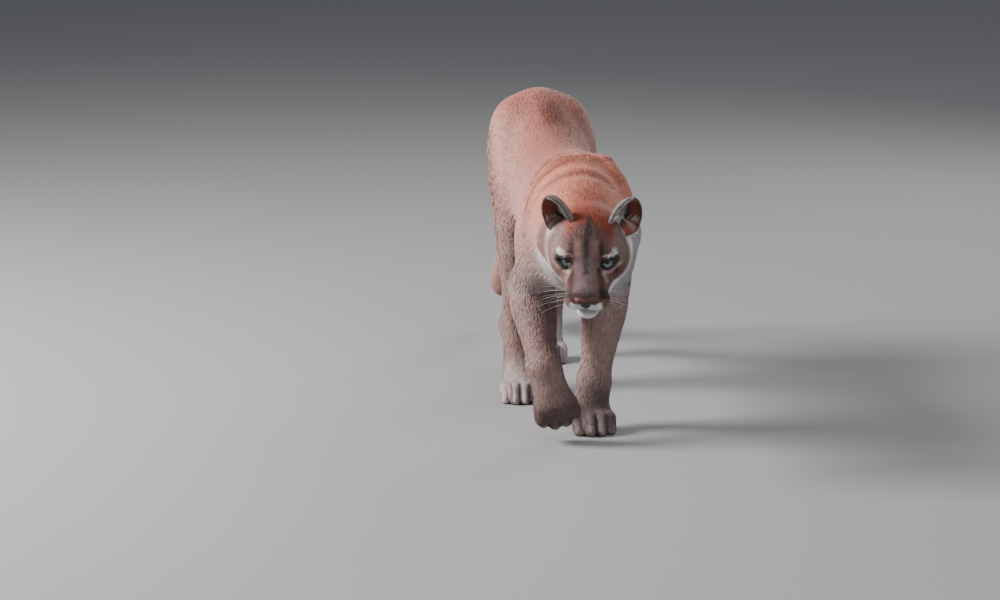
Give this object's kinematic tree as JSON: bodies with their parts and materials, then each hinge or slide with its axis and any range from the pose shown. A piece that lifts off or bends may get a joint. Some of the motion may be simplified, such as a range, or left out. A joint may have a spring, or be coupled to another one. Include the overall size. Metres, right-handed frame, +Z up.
{
  "type": "cougar",
  "caption": "Life-size still model of a walking cougar with its head low and its right forepaw swinging, standing on three paws.",
  "frame": {"origin": "on the floor, under the middle of the bounding box", "axes": "+X to the animal's left, +Y to its rear, +Z up; it faces -Y"},
  "size_m": [0.3042, 1.5236, 0.6707],
  "materials": {
    "grey_face_fur": "matt short fur",
    "rufous_fur": "matt short fur",
    "tawny_fur": "matt short fur",
    "pale_fur": "matt short fur",
    "dark_fur": "matt short fur",
    "nose_leather": "damp, slightly shiny",
    "eye": "wet gloss"
  },
  "bodies": {
    "root": {"belly": "tawny_fur", "chest": "tawny_fur", "ear_left": "grey_face_fur", "ear_right": "grey_face_fur", "eye_left": "eye", "eye_right": "eye", "head": "grey_face_fur", "left_fore_forearm": "pale_fur", "left_fore_paw": "pale_fur", "left_fore_shoulder": "pale_fur", "left_hind_paw": "pale_fur", "left_hind_shank": "pale_fur", "left_hind_thigh": "pale_fur", "neck": "rufous_fur", "nose": "nose_leather", "right_fore_forearm": "pale_fur", "right_fore_paw": "pale_fur", "right_fore_shoulder": "pale_fur", "right_hind_paw": "pale_fur", "right_hind_shank": "pale_fur", "right_hind_thigh": "pale_fur", "rump": "tawny_fur", "tail_middle": "tawny_fur", "tail_root": "tawny_fur", "tail_tip": "dark_fur"}
  },
  "joints": []
}
